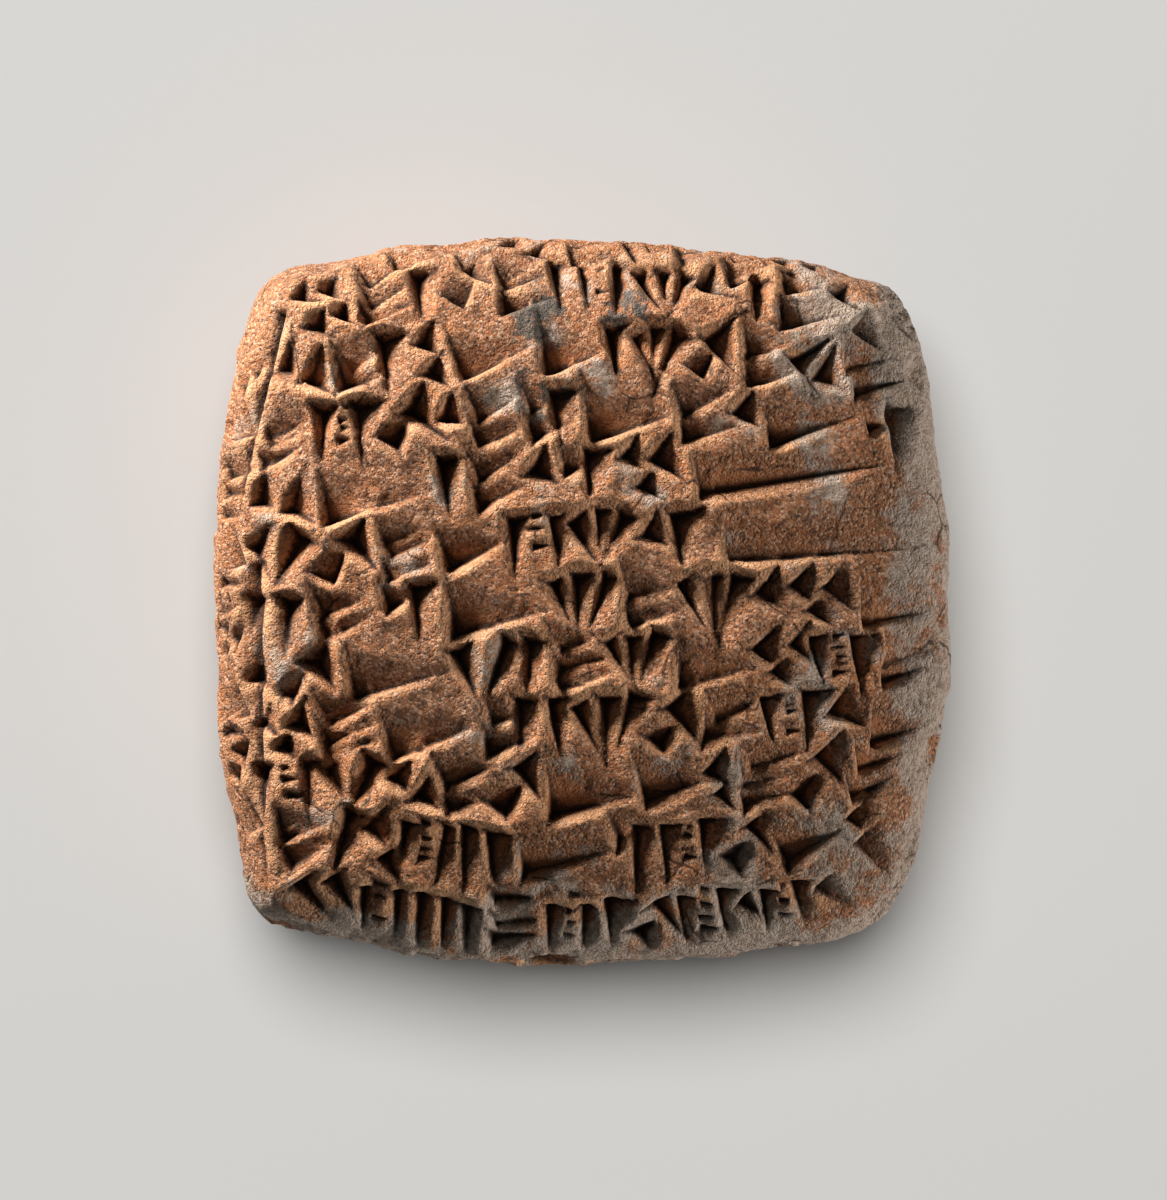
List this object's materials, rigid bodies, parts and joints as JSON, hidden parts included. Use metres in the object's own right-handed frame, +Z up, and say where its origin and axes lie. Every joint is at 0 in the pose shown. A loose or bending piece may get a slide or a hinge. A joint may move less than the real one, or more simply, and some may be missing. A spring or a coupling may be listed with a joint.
{
  "type": "clay cuneiform tablet",
  "caption": "Palm-sized square clay tablet, cushion-shaped, lying on its back with rows of wedge-shaped impressions over its face and round its edges.",
  "frame": {"origin": "middle of the base of the tablet's box, on the small flat spot of the back that it rests on", "axes": "+Z up, out of the written face; +Y from the last row of writing to the first; +X along the rows, the way they run"},
  "size_m": [0.0562, 0.0553, 0.0196],
  "materials": {
    "clay": "matte"
  },
  "bodies": {
    "root": {"tablet": "clay"}
  },
  "joints": []
}
